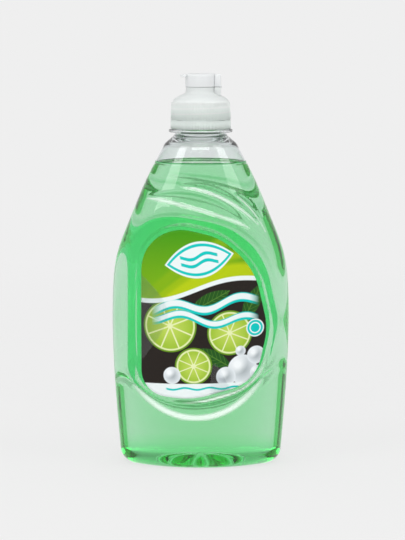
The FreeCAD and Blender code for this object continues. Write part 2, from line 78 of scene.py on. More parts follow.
# %% Heights, half widths and half depths, in millimetres
STATION_HEIGHTS = (7.5, 26.0, 62.0, 92.0, 110.0, 128.0, 145.0, 157.5, 166.4)
HALF_WIDTHS = (41.9, 43.5, 45.62, 45.5, 43.1, 36.4, 29.4, 23.3, 18.5)
HALF_DEPTHS = (26.0, 27.2, 28.0, 27.9, 27.1, 25.4, 22.9, 20.3, 18.5)
FOOT_CORNER = 7.5
WALL = 0.5
JOIN = math.radians(50)
SOAP_LEVEL = 156.5


def smooth_through(heights, values):
    """A natural cubic spline through the values, as a function of height."""
    x, y = np.array(heights, float), np.array(values, float)
    step, count = np.diff(x), len(x)
    left, right = np.eye(count), np.zeros(count)
    for i in range(1, count - 1):
        left[i, i - 1 : i + 2] = step[i - 1], 2 * (step[i - 1] + step[i]), step[i]
        right[i] = 6 * ((y[i + 1] - y[i]) / step[i] - (y[i] - y[i - 1]) / step[i - 1])
    bend = np.linalg.solve(left, right)

    def at(z):
        z = np.asarray(z, float)
        i = np.clip(np.searchsorted(x, z) - 1, 0, count - 2)
        below, above, h = z - x[i], x[i + 1] - z, step[i]
        curve = (bend[i] * above**3 + bend[i + 1] * below**3) / (6 * h)
        return curve + (y[i] / h - bend[i] * h / 6) * above + (y[i + 1] / h - bend[i + 1] * h / 6) * below

    return at


half_width = smooth_through(STATION_HEIGHTS, HALF_WIDTHS)
half_depth = smooth_through(STATION_HEIGHTS, HALF_DEPTHS)
print("half width at 100 mm:", round(float(half_width(100)), 2), "mm")

# %% [markdown]
# The oval itself is four arcs that meet without a corner: a tight one at each side and a wide one on each
# face. It is cut into columns once, with more of them on the faces, where the relief needs them. Every ring of
# the skin has the same columns, so rings can be joined by quads with no matching.

# %% The oval, as columns of points
SIDE_COLUMNS, FACE_COLUMNS = 24, 88


def column_turns():
    """For each column, the angle on its own arc and the arc's number: right side, back, left side, front."""
    side = np.linspace(-JOIN, JOIN, SIDE_COLUMNS, endpoint=False)
    face = np.linspace(JOIN, math.pi - JOIN, FACE_COLUMNS, endpoint=False)
    turns = np.concatenate([side, face, side + math.pi, face + math.pi])
    arcs = np.repeat([0, 1, 2, 3], [SIDE_COLUMNS, FACE_COLUMNS, SIDE_COLUMNS, FACE_COLUMNS])
    return turns, arcs


TURNS, ARCS = column_turns()
COLUMNS = len(TURNS)


def oval(a, b, inset=0.0):
    """Points of the four-arc oval of half width a and half depth b, moved inwards by inset."""
    spread = (a - b) / (math.sin(JOIN) + math.cos(JOIN) - 1)
    side, face = a - spread * math.cos(JOIN), b + spread * math.sin(JOIN)
    centre_x = np.choose(ARCS, [a - side, 0, side - a, 0])
    centre_y = np.choose(ARCS, [0, b - face, 0, face - b])
    radius = np.where(ARCS % 2 == 0, side, face) - inset
    return np.stack([centre_x + radius * np.cos(TURNS), centre_y + radius * np.sin(TURNS)], axis=1)


print("columns round the body:", COLUMNS)

# %% [markdown]
# ## The relief on the faces
# Both faces carry a sunk panel for the label and swept bands above and below it. Sculpting or booleans would
# leave ragged edges, so each figure is an outline in the plane of the face, and the skin sinks by a soft step
# of the distance to it. The same field shapes the front and the back.

# %% Outlines in the plane of a face
LABEL_CENTRE = (1.4, 81.2)
LABEL_HALF = (31.8, 42.7)
LABEL_CORNERS = (
    (-1.00, 1.12, 21.0),
    (-1.00, -0.98, 13.0),
    (-0.20, -1.04, 50.0),
    (0.84, -0.84, 20.0),
    (1.04, -0.20, 32.0),
    (0.82, 0.53, 38.0),
    (0.26, 0.91, 32.0),
)


def rounded_outline(corners, points_each=14):
    """Points along a closed outline of straight sides with round corners, from (place, radius) pairs."""
    outline, count = [], len(corners)
    for i, (corner, radius) in enumerate(corners):
        corner = Vector(corner)
        back = (Vector(corners[i - 1][0]) - corner).normalized()
        ahead = (Vector(corners[(i + 1) % count][0]) - corner).normalized()
        half = back.angle(ahead) / 2
        centre = corner + (back + ahead).normalized() * (radius / math.sin(half))
        start = corner + back * (radius / math.tan(half)) - centre
        sweep = math.pi - 2 * half
        turn = 1 if back.y * ahead.x - back.x * ahead.y > 0 else -1
        for k in range(points_each):
            angle = math.atan2(start.y, start.x) + turn * sweep * k / (points_each - 1)
            outline.append((centre.x + radius * math.cos(angle), centre.y + radius * math.sin(angle)))
    return np.array(outline)


def lens_outline(start, end, upper, lower, points_each=40):
    """Points along two arcs that share their ends and rise by upper and lower over the line between them."""
    start, end = np.array(start, float), np.array(end, float)
    share = np.linspace(0, 1, points_each)[:, None]
    along = end - start
    upward = np.array([-along[1], along[0]]) / np.linalg.norm(along)
    chord = np.linalg.norm(along)

    def arc(sag):
        radius = (chord**2 / 4 + sag**2) / (2 * abs(sag))
        across = (share - 0.5) * chord
        rise = np.sqrt(radius**2 - across**2) - (radius - abs(sag))
        return start + along * share + upward * rise * math.copysign(1, sag)

    return np.concatenate([arc(upper), arc(lower)[::-1][1:-1]])


def distance_inside(points, outline):
    """How far each point lies inside the outline, and below nought how far outside."""
    nearest = np.full(len(points), 1e9)
    inside = np.zeros(len(points), bool)
    for p, q in zip(outline, np.roll(outline, -1, axis=0)):
        side = q - p
        length = max(float(side @ side), 1e-12)
        share = np.clip(((points - p) @ side) / length, 0, 1)
        nearest = np.minimum(nearest, np.linalg.norm(points - p - share[:, None] * side, axis=1))
        crosses = (p[1] > points[:, 1]) != (q[1] > points[:, 1])
        rise = q[1] - p[1] if q[1] != p[1] else 1e-12
        inside ^= crosses & (points[:, 0] < p[0] + (points[:, 1] - p[1]) * side[0] / rise)
    return np.where(inside, nearest, -nearest)


label_outline = rounded_outline(
    [
        ((LABEL_CENTRE[0] + u * LABEL_HALF[0], LABEL_CENTRE[1] + v * LABEL_HALF[1]), radius)
        for u, v, radius in LABEL_CORNERS
    ]
)
print("label outline:", np.round(label_outline.min(0), 1), "to", np.round(label_outline.max(0), 1))

# %% How deep the skin is sunk at each place of a face
PANEL_MARGIN = 2.6
PANEL_EDGE = 1.0
RELIEF_DEPTH = 0.9
SWEPT_BANDS = {
    "ridge": ((-27.0, 139.6), (24.0, 125.4), 8.4, 1.6, 1.3, 0.9),
    "wave": ((-10.0, 146.2), (29.4, 126.4), 6.4, 3.6, 1.1, 0.9),
    "comet": ((18.0, 141.4), (33.2, 122.6), 3.0, 1.2, 0.9, 0.9),
    "smile": ((-34.0, 43.5), (31.0, 46.5), -11.0, -17.6, 1.9, 1.6),
}
band_outlines = [(lens_outline(*band[:-2]), *band[-2:]) for band in SWEPT_BANDS.values()]


def soft_step(distance, reach):
    """From 0 outside to 1 inside, over reach on either side of the edge."""
    share = np.clip(0.5 + distance / (2 * reach), 0, 1)
    return share * share * (3 - 2 * share)


def relief(points):
    """The sinking in millimetres at places (across, up) on a face."""
    depth = RELIEF_DEPTH * soft_step(distance_inside(points, label_outline) + PANEL_MARGIN, PANEL_EDGE)
    for outline, edge, sunk in band_outlines:
        depth = np.maximum(depth, sunk * soft_step(distance_inside(points, outline), edge))
    return depth


print("swept bands:", ", ".join(SWEPT_BANDS), "of", len(band_outlines[0][0]), "points each")

# %% [markdown]
# ## The blown bottle
# The real bottle is one skin of clear plastic, half a millimetre thick: a pushed-up foot, the body, the
# shoulder, and a neck with a support ring. It is built as one closed run of rings, from the middle of the
# foot up the outside, over the lip of the mouth, and down the inside to the middle of the foot again.

# %% The outside skin as rings
DOME_HALF_WIDTH, DOME_HALF_DEPTH, DOME_HEIGHT, DOME_SUNK = 33.0, 16.0, 9.0, 4.0
PETALS, PETAL_HEIGHT, PETAL_START = 8, 0.7, 6.0
GATE_DROP, GATE_REACH = 0.7, 2.2
FOOT_RINGS, CORNER_RINGS = 30, 9
RING_HEIGHTS = np.concatenate([np.arange(9, 27, 1.5), np.arange(27, 150, 1.0), np.arange(150, 165.5, 1.5)])
SLOPE_REACH = 0.5
NECK_PROFILE = (
    (18.5, 166.4), (17.6, 167.2), (16.7, 168.0), (15.6, 169.0), (14.5, 169.9), (13.7, 170.7), (13.2, 171.5),
    (13.2, 172.1), (13.5, 172.2), (16.2, 172.25), (16.45, 172.5), (16.5, 173.0), (16.45, 173.5),
    (16.2, 173.75), (12.6, 173.85), (12.5, 174.0), (12.5, 176.8), (13.8, 176.95), (13.9, 177.1),
    (12.6, 178.2), (12.5, 178.4), (12.5, 186.6), (12.3, 186.95), (11.9, 187.0), (11.2, 187.0),
    (10.95, 186.9), (10.86, 186.6), (10.86, 171.4), (11.1, 170.6), (12.2, 169.9), (14.2, 168.3),
    (16.1, 167.2), (17.9, 166.0),
)


def ring(a, b, height, inset=0.0):
    """One level ring of the skin."""
    return np.column_stack([oval(a, b, inset), np.full(COLUMNS, float(height))])


def foot_height_at(outline):
    """How high the pushed-up foot stands over the ground, as an ellipsoid sunk under it."""
    x, y = outline[:, 0] / DOME_HALF_WIDTH, outline[:, 1] / DOME_HALF_DEPTH
    away = (outline**2).sum(1)
    rise = np.maximum(DOME_HEIGHT * np.sqrt(np.clip(1 - x**2 - y**2, 0, 1)) - DOME_SUNK, 0)
    petals = np.cos(PETALS * np.arctan2(y, x)) * PETAL_HEIGHT
    fade = np.clip(rise / DOME_SUNK, 0, 1) * np.clip(away / PETAL_START**2, 0, 1)
    return rise + petals * fade - GATE_DROP * np.exp(-away / GATE_REACH**2)


def outside_rings():
    """The rings of the outer skin, and for each point how steeply the relief makes it face up, which places a
    painted highlight and a painted shade on the clear plastic.
    """
    rings, highlight_and_shade_rows = [], []
    a, b = float(half_width(FOOT_CORNER)), float(half_depth(FOOT_CORNER))
    flat = oval(a, b, FOOT_CORNER)
    for share in np.linspace(0.02, 1.0, FOOT_RINGS):
        outline = flat * share
        rings.append(np.column_stack([outline, foot_height_at(outline)]))
    for turn in np.radians(np.linspace(80, 0, CORNER_RINGS)):
        inset = FOOT_CORNER * (1 - math.cos(turn))
        rings.append(ring(a, b, FOOT_CORNER * (1 - math.sin(turn)), inset))
    for z in RING_HEIGHTS:
        a, b = float(half_width(z)), float(half_depth(z))
        across = oval(a, b)[:, 0]
        steps = (0, SLOPE_REACH, -SLOPE_REACH)
        sunk, above, below = (relief(np.column_stack([across, np.full(COLUMNS, z + step)])) for step in steps)
        rings.append(ring(a, b, z, sunk))
        highlight_and_shade_rows.append(above - below)
    plain_rings = len(rings) - len(highlight_and_shade_rows)
    return np.array(rings), np.concatenate([np.zeros((plain_rings, COLUMNS)), highlight_and_shade_rows])


def skin_normals(rings):
    """The outward direction at each point of a grid of rings."""
    round_the_body = np.roll(rings, -1, axis=1) - np.roll(rings, 1, axis=1)
    up_the_body = np.gradient(rings, axis=0)
    normal = np.cross(round_the_body, up_the_body)
    return normal / np.maximum(np.linalg.norm(normal, axis=2, keepdims=True), 1e-9)


outside, slope_tone = outside_rings()
inside = outside - skin_normals(outside) * WALL
print("outside rings:", len(outside), "height", outside[..., 2].min(), "to", outside[..., 2].max())

# %% [markdown]
# Every solid piece here is made of rings, so four helpers are enough. Two list faces: the quads between two
# rings, and the fan of triangles from a ring to a tip. One closes a run of rings, and one makes the object.

# %% Meshes from runs of rings
def quads_between(lower, upper, columns):
    """The quads from the ring that starts at point lower to the one that starts at point upper."""
    here = np.arange(columns)
    after = (here + 1) % columns
    return np.column_stack([lower + here, lower + after, upper + after, upper + here]).tolist()


def fan(first, columns, tip, flip=False):
    """The triangles from a ring to a tip."""
    here = np.arange(columns)
    after = (here + 1) % columns
    pair = [after, here] if flip else [here, after]
    return np.column_stack([first + pair[0], first + pair[1], np.full(columns, tip)]).tolist()


def run_of_rings(rings, tips=None):
    """Points in metres and faces of a run of rings, closed at each end by a fan to a tip."""
    count, columns = len(rings), len(rings[0])
    tips = [rings[0].mean(0), rings[-1].mean(0)] if tips is None else tips
    points = np.concatenate([*rings, tips]) * MM
    faces = sum((quads_between(i * columns, (i + 1) * columns, columns) for i in range(count - 1)), [])
    faces += fan(0, columns, count * columns, flip=True)
    faces += fan((count - 1) * columns, columns, count * columns + 1)
    return points, faces


def new_piece(name, points=(), faces=(), slots=None, outwards=False, merge=0.0):
    """An object of these points and faces, on request with near points merged and faces turned outwards."""
    mesh = bpy.data.meshes.new(name)
    mesh.from_pydata(np.asarray(points).tolist(), [], faces)
    if slots:
        mesh.polygons.foreach_set("material_index", slots)
    if outwards:
        work = bmesh.new()
        work.from_mesh(mesh)
        if merge:
            bmesh.ops.remove_doubles(work, verts=work.verts, dist=merge)
        bmesh.ops.recalc_face_normals(work, faces=work.faces)
        work.to_mesh(mesh)
        work.free()
    mesh.shade_smooth()
    piece = bpy.data.objects.new(name, mesh)
    bpy.context.scene.collection.objects.link(piece)
    return piece


bottle_rings = [*outside, *[ring(r, r, z) for r, z in NECK_PROFILE], *inside[::-1]]
bottle = new_piece("blown_bottle", *run_of_rings(bottle_rings))
# How much the relief faces up, kept on the bottle's points, to place the painted highlight and the painted shade.
painted_light_tone = np.zeros(len(bottle.data.vertices), np.float32)
painted_light_tone[: slope_tone.size] = slope_tone.ravel()
bottle.data.attributes.new("slope_tone", "FLOAT", "POINT").data.foreach_set("value", painted_light_tone)
print("bottle faces:", len(bottle.data.polygons))
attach(bottle, "bottle")
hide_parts("bottle")

# %% [markdown]
# ## The soap
# The liquid fills the bottle to a level just under the shoulder, and climbs a little where it wets the wall.
# It is one closed piece whose side lies a little way into the wall, so no film of air shows between them.

# %% The liquid as rings
MENISCUS_RISE, MENISCUS_REACH = 1.0, 0.8
MENISCUS_INSETS = (0.0, 0.3, 0.7, 1.2, 1.9, 2.8, 4.0)
SOAK = 0.15


def soap_rings():
    """Rings up the wetted wall, then inwards over the climb at the wall and the flat top."""
    wetted = outside - skin_normals(outside) * (WALL - SOAK)
    below = [line for line in wetted if line[:, 2].max() < SOAP_LEVEL - 0.5]
    a, b = (float(half(SOAP_LEVEL)) - WALL + SOAK for half in (half_width, half_depth))
    rim = oval(a, b)
    top = []
    for inset in MENISCUS_INSETS:
        height = SOAP_LEVEL + MENISCUS_RISE * math.exp(-inset / MENISCUS_REACH)
        top.append(np.column_stack([oval(a, b, inset), np.full(COLUMNS, height)]))
    for share in (0.6, 0.3, 0.05):
        top.append(np.column_stack([rim * share, np.full(COLUMNS, SOAP_LEVEL)]))
    return [*below, *top]


soap = new_piece("soap_fill", *run_of_rings(soap_rings()))
print("soap faces:", len(soap.data.polygons))
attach(soap, "bottle")
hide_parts("dish_soap")

# %% [markdown]
# ## The labels
# Each label is a stiff printed film, stuck flat on its panel. A cut-out plane would float off the curved face,
# so the film is a fan of rings from its outline to its middle, laid on the skin by the same arc that shapes
# the face, and closed with a rim and an inner side.

# %% A film on one face
FILM, GLUE_GAP = 0.12, 0.02
FILM_SHARES = 1 - np.linspace(0, 1, 36)[:-1]


def face_y(points, lift):
    """How far out the sunk panel's skin lies at (across, up), raised by lift."""
    a, b = half_width(points[:, 1]), half_depth(points[:, 1])
    spread = (a - b) / (math.sin(JOIN) + math.cos(JOIN) - 1)
    radius = b + spread * math.sin(JOIN)
    reach = radius - RELIEF_DEPTH + lift
    return b - radius + np.sqrt(reach**2 - points[:, 0] ** 2)


def label_film(name, side, growth, shift):
    """side is -1 for the front and 1 for the back. growth widens and heightens the film, and shift moves it."""
    middle = np.array(LABEL_CENTRE)
    centre = middle + np.array([shift, 0])
    edge = centre + (label_outline - middle) * (1 + np.array(growth) / np.array(LABEL_HALF))
    rings, tips = [], []
    for lift, shares in ((GLUE_GAP + FILM, FILM_SHARES[::-1]), (GLUE_GAP, FILM_SHARES)):
        for share in shares:
            flat = centre + (edge - centre) * share
            rings.append(np.column_stack([flat[:, 0], side * face_y(flat, lift), flat[:, 1]]))
        tips.append([centre[0], side * float(face_y(centre[None], lift)[0]), centre[1]])
    columns, printed = len(label_outline), len(FILM_SHARES) - 1
    slots = [0] * printed * columns + [1] * (printed + 1) * columns + [0] * columns + [1] * columns
    return new_piece(name, *run_of_rings(rings, tips), slots=slots, outwards=True)


labels = {}
for name, side, growth, shift in (("front_label", -1, (0.0, 0.0), 0.0), ("back_label", 1, (0.6, 1.4), -0.8)):
    labels[name] = label_film(f"{name}_film", side, growth, shift)
    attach(labels[name], "bottle")
    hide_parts(name)
    print(labels[name].name, "faces:", len(labels[name].data.polygons))

# %% [markdown]
# ## The closure
# The ribbed skirt, its shoulder, the turret and the spout are one moulding, and the lid is another. Turning a
# profile about the axis gives their round parts, and a Screw modifier could do that, but rings from a rounded
# profile leave control over every corner. The pedestal and the lug of the hinge are small rounded slabs.

# %% Turned parts and slabs
TURNED_COLUMNS = 144


def rounded_path(corners, points_each=7):
    """An open path through (radius, height, rounding) corners. The first and last stay sharp."""
    inner = rounded_outline([((r, z), rounding) for r, z, rounding in corners], points_each)
    inner = inner.reshape(len(corners), points_each, 2)[1:-1].reshape(-1, 2)
    return np.array([corners[0][:2], *inner, corners[-1][:2]])


def turned_rings(path):
    """The rings that a path of (radius, height) places makes when it turns about the axis."""
    turns = np.linspace(0, 2 * math.pi, TURNED_COLUMNS, endpoint=False)
    circle = np.stack([np.cos(turns), np.sin(turns)], axis=1)
    return [np.column_stack([circle * r, np.full(TURNED_COLUMNS, z)]) for r, z in path]


def slab_rings(outline, low, high, edge=0.3):
    """Rings of a flat slab of this outline, with softened edges."""
    middle = outline.mean(0)
    reach = np.abs(outline - middle).max(0)
    rings = []
    for height, inset in ((low, edge), (low + edge * 0.3, edge * 0.3), (low + edge, 0),
                          (high - edge, 0), (high - edge * 0.3, edge * 0.3), (high, edge)):
        ring_here = middle + (outline - middle) * (1 - inset / reach)
        rings.append(np.column_stack([ring_here, np.full(len(outline), height)]))
    return rings


def side_slab(outline, width):
    """A slab whose outline is in the plane of X and Z, as wide as this across the middle."""
    return [ring_here[:, [0, 2, 1]] for ring_here in slab_rings(outline, -width / 2, width / 2)]


def moulding(name, *runs):
    """One piece from several runs of rings, each closed at both ends, with its faces turned outwards."""
    points, faces = [], []
    for rings in runs:
        more_points, more_faces = run_of_rings(rings)
        faces += [[len(points) + corner for corner in face] for face in more_faces]
        points += more_points.tolist()
    return new_piece(name, points, faces, outwards=True, merge=2e-6)


print("columns round a turned part:", TURNED_COLUMNS)

# %% The moulding that screws on
SKIRT_BOTTOM, SKIRT_TOP, PARTING = 178.78, 189.1, 195.5
SKIRT_RADIUS, SKIRT_TOP_RADIUS = 15.32, 14.8
HINGE_REACH, HINGE_WIDTH = 10.5, 8.0
cap_path = rounded_path(
    [
        (0.0, 194.3, 0), (6.4, 194.3, 0.3), (6.4, 191.2, 0.3), (9.6, 190.0, 0.3), (9.6, 184.6, 0.2),
        (10.6, 184.6, 0.2), (10.6, 187.1, 0.2), (14.3, 187.1, 0.3), (14.3, SKIRT_BOTTOM, 0.15),
        (SKIRT_RADIUS, SKIRT_BOTTOM, 0.08), (SKIRT_TOP_RADIUS, SKIRT_TOP, 4.5), (7.6, 192.4, 2.2),
        (7.6, PARTING, 0.25), (3.3, PARTING, 0.3), (2.9, 198.5, 0.3), (1.75, 198.5, 0.3), (1.75, 194.9, 0.2),
        (0.0, 194.9, 0),
    ]
)
pedestal_side = rounded_outline(
    [
        ((7.0, PARTING), 0.05), ((7.0, 191.8), 0.3), ((9.6, 190.6), 0.4), ((HINGE_REACH, 191.6), 0.6),
        ((HINGE_REACH, PARTING), 0.3),
    ],
    6,
)
cap = moulding("cap_moulding", turned_rings(cap_path), side_slab(pedestal_side, HINGE_WIDTH))
print("cap moulding faces:", len(cap.data.polygons))

# %% [markdown]
# The lid is a cup turned about the axis, with a sealing pin in its middle. A lug on the hinge's side carries
# the film, and a thumb tab stands out on the other. Both are slabs that run into the cup, as on the moulding.

# %% The lid
LID_BOTTOM, LID_TOP, LID_RADIUS = 195.65, 202.2, 7.9
TAB_BOTTOM, TAB_TOP = 200.6, 201.95
lid_path = rounded_path(
    [
        (0.0, 197.4, 0), (1.3, 197.4, 0.3), (1.3, 201.2, 0.3), (6.9, 201.2, 0.4), (6.9, LID_BOTTOM, 0.15),
        (LID_RADIUS, LID_BOTTOM, 0.2), (LID_RADIUS, LID_TOP, 0.9), (0.0, 202.55, 0),
    ]
)
lug_side = rounded_outline(
    [
        ((7.2, LID_BOTTOM), 0.05), ((7.2, LID_TOP - 0.1), 0.3), ((HINGE_REACH, LID_TOP), 0.9),
        ((HINGE_REACH, LID_BOTTOM), 0.3),
    ],
    6,
)
tab_plan = rounded_outline(
    [
        ((-7.2, -4.5), 0.2), ((-9.4, -4.3), 0.8), ((-10.5, -2.2), 1.2), ((-10.5, 2.2), 1.2), ((-9.4, 4.3), 0.8),
        ((-7.2, 4.5), 0.2),
    ],
    6,
)
tab_rings = slab_rings(tab_plan, TAB_BOTTOM, TAB_TOP)
lid = moulding("lid_moulding", turned_rings(lid_path), side_slab(lug_side, HINGE_WIDTH), tab_rings)
print("lid moulding faces:", len(lid.data.polygons))

# %% [markdown]
# Cap and lid are moulded in one piece and joined by a film that is thin enough to bend.

# %% The hinge's film
STRAP_WIDTH = 7.0
strap_side = rounded_outline(
    [
        ((HINGE_REACH + reach, height), rounding)
        for reach, height, rounding in (
            (-0.25, 194.7, 0.05), (0.05, 194.7, 0.05), (0.3, 195.2, 0.3), (0.3, 195.9, 0.3),
            (0.05, 196.4, 0.05), (-0.25, 196.4, 0.05),
        )
    ],
    6,
)
strap = moulding("hinge_film", side_slab(strap_side, STRAP_WIDTH))
print("hinge film faces:", len(strap.data.polygons))
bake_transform(strap)
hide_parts("living_hinge")

# %% [markdown]
# ## Ribs and thread by Geometry Nodes
# The grip is one rib repeated 120 times round the skirt and again round the tamper band, and the thread on
# the neck is one bump swept along a spiral. Both follow a rule, so small node trees make them from a few
# named sizes. The result becomes a plain mesh, because an export drops instances and modifiers.

# %% Node trees
def new_tree(name, sizes):
    """A tree with a Geometry input and output, a material, and the named sizes as inputs."""
    tree = bpy.data.node_groups.new(name, "GeometryNodeTree")
    tree.interface.new_socket("Geometry", in_out="INPUT", socket_type="NodeSocketGeometry")
    for label, value in sizes.items():
        kind = "NodeSocketInt" if isinstance(value, int) else "NodeSocketFloat"
        tree.interface.new_socket(label, in_out="INPUT", socket_type=kind)
    tree.interface.new_socket("Material", in_out="INPUT", socket_type="NodeSocketMaterial")
    tree.interface.new_socket("Geometry", in_out="OUTPUT", socket_type="NodeSocketGeometry")
    return tree, tree.nodes.new("NodeGroupInput"), tree.nodes.new("NodeGroupOutput")


def node_in(tree, kind, settings=None, **inputs):
    """One node: its settings, then its inputs by name, from other sockets or as plain values."""
    node = tree.nodes.new(kind)
    for key, value in (settings or {}).items():
        setattr(node, key, value)
    for key, value in inputs.items():
        label = key.replace("_", " ")
        socket = next(s for s in node.inputs if s.name == label and s.enabled)
        if isinstance(value, bpy.types.NodeSocket):
            tree.links.new(value, socket)
        else:
            socket.default_value = value
    return node


def end_tree(tree, start, end, added):
    """What came in and what was added, as real geometry of one material."""
    join = tree.nodes.new("GeometryNodeJoinGeometry")
    tree.links.new(start.outputs["Geometry"], join.inputs[0])
    tree.links.new(added.outputs[0], join.inputs[0])
    whole = node_in(tree, "GeometryNodeRealizeInstances", Geometry=join.outputs[0])
    dressed = node_in(
        tree, "GeometryNodeSetMaterial", Geometry=whole.outputs[0], Material=start.outputs["Material"]
    )
    tree.links.new(dressed.outputs[0], end.inputs[0])
    return tree


def rib_tree():
    """Upright rods on a circle, each turned to lean outwards with the wall that carries it."""
    sizes = {"Count": 120, "Radius": 0.0, "Rib Radius": 0.0, "Length": 0.0, "Middle": 0.0, "Lean": 0.0}
    tree, start, end = new_tree("grip_ribs", sizes)
    given = start.outputs
    circle = node_in(tree, "GeometryNodeMeshCircle", Vertices=given["Count"], Radius=given["Radius"])
    lift = node_in(tree, "ShaderNodeCombineXYZ", Z=given["Middle"])
    raised = node_in(tree, "GeometryNodeTransform", Geometry=circle.outputs[0], Translation=lift.outputs[0])
    rib = node_in(
        tree, "GeometryNodeMeshCylinder", Vertices=8, Radius=given["Rib Radius"], Depth=given["Length"]
    )
    place = tree.nodes.new("GeometryNodeInputPosition")
    split = node_in(tree, "ShaderNodeSeparateXYZ", Vector=place.outputs[0])
    turn = tree.nodes.new("ShaderNodeMath")
    turn.operation = "ARCTAN2"
    tree.links.new(split.outputs["Y"], turn.inputs[0])
    tree.links.new(split.outputs["X"], turn.inputs[1])
    facing = node_in(tree, "ShaderNodeCombineXYZ", Y=given["Lean"], Z=turn.outputs[0])
    ribs = node_in(
        tree, "GeometryNodeInstanceOnPoints", Points=raised.outputs[0], Instance=rib.outputs[0],
        Rotation=facing.outputs[0],
    )
    whole = node_in(tree, "GeometryNodeRealizeInstances", Geometry=ribs.outputs[0])
    soft = node_in(tree, "GeometryNodeSetShadeSmooth", Geometry=whole.outputs[0])
    return end_tree(tree, start, end, soft)


def thread_tree():
    """A round bump swept along a spiral that keeps its radius."""
    sizes = {"Turns": 0.0, "Radius": 0.0, "Rise": 0.0, "Bottom": 0.0, "Bump Radius": 0.0}
    tree, start, end = new_tree("neck_thread", sizes)
    given = start.outputs
    spiral = node_in(
        tree, "GeometryNodeCurveSpiral", Resolution=64, Rotations=given["Turns"], Start_Radius=given["Radius"],
        End_Radius=given["Radius"], Height=given["Rise"], Reverse=False,
    )
    bump = node_in(tree, "GeometryNodeCurvePrimitiveCircle", Resolution=10, Radius=given["Bump Radius"])
    swept = node_in(
        tree, "GeometryNodeCurveToMesh", Curve=spiral.outputs[0], Profile_Curve=bump.outputs[0], Fill_Caps=True
    )
    lift = node_in(tree, "ShaderNodeCombineXYZ", Z=given["Bottom"])
    raised = node_in(tree, "GeometryNodeTransform", Geometry=swept.outputs[0], Translation=lift.outputs[0])
    soft = node_in(tree, "GeometryNodeSetShadeSmooth", Geometry=raised.outputs[0])
    return end_tree(tree, start, end, soft)


def grown(piece, tree, material, **sizes):
    """The piece with what the tree adds, as a plain mesh. Lengths are in metres."""
    modifier = piece.modifiers.new(tree.name, "NODES")
    modifier.node_group = tree
    for item in tree.interface.items_tree:
        key = item.name.replace(" ", "_")
        if item.in_out == "INPUT" and key in sizes:
            modifier[item.identifier] = sizes[key]
        if item.in_out == "INPUT" and item.name == "Material":
            modifier[item.identifier] = material
    graph = bpy.context.evaluated_depsgraph_get()
    mesh = bpy.data.meshes.new_from_object(piece.evaluated_get(graph))
    piece.modifiers.remove(modifier)
    old, piece.data = piece.data, mesh
    bpy.data.meshes.remove(old)
    print(piece.name, "faces:", len(piece.data.polygons))
    return piece


print("ready to grow ribs and a thread on:", cap.name, "and the neck")

# %% [markdown]
# ## Shader arithmetic
# Patterns are written as formulas on node sockets. A small class stands for a number that a node gives, so
# that `1 - mask` or `across * 2` adds the Math node for it, and one method adds any other node.

# %% Numbers and finishes
class Number:
    """A number that a node gives. Arithmetic on it adds Math nodes."""

    def __init__(self, finish, socket):
        self.finish = finish
        self.socket = socket

    def maths(self, operation, *values, clamp=False):
        return self.finish.add("ShaderNodeMath", {"operation": operation, "use_clamp": clamp}, *values)

    def __add__(self, other):
        return self.maths("ADD", self, other)

    def __radd__(self, other):
        return self.maths("ADD", other, self)

    def __sub__(self, other):
        return self.maths("SUBTRACT", self, other)

    def __rsub__(self, other):
        return self.maths("SUBTRACT", other, self)

    def __mul__(self, other):
        return self.maths("MULTIPLY", self, other)

    def __rmul__(self, other):
        return self.maths("MULTIPLY", other, self)

    def __truediv__(self, other):
        return self.maths("DIVIDE", self, other)

    def __rtruediv__(self, other):
        return self.maths("DIVIDE", other, self)

    def __abs__(self):
        return self.maths("ABSOLUTE", self)

    def sine(self):
        return self.maths("SINE", self)

    def root(self):
        return self.maths("SQRT", self)

    def angle_to(self, other):
        return self.maths("ARCTAN2", self, other)

    def remainder(self, other):
        return self.maths("FLOORED_MODULO", self, other)

    def most(self, other):
        return self.maths("MAXIMUM", self, other)

    def clamped(self):
        return self.maths("ADD", self, 0.0, clamp=True)

    def under(self, edge, soft):
        """1 where this number is below the edge and 0 where it is above, with a soft change of that width."""
        return self.maths("MULTIPLY_ADD", self, -1 / soft, edge * (1 / soft) + 0.5, clamp=True)


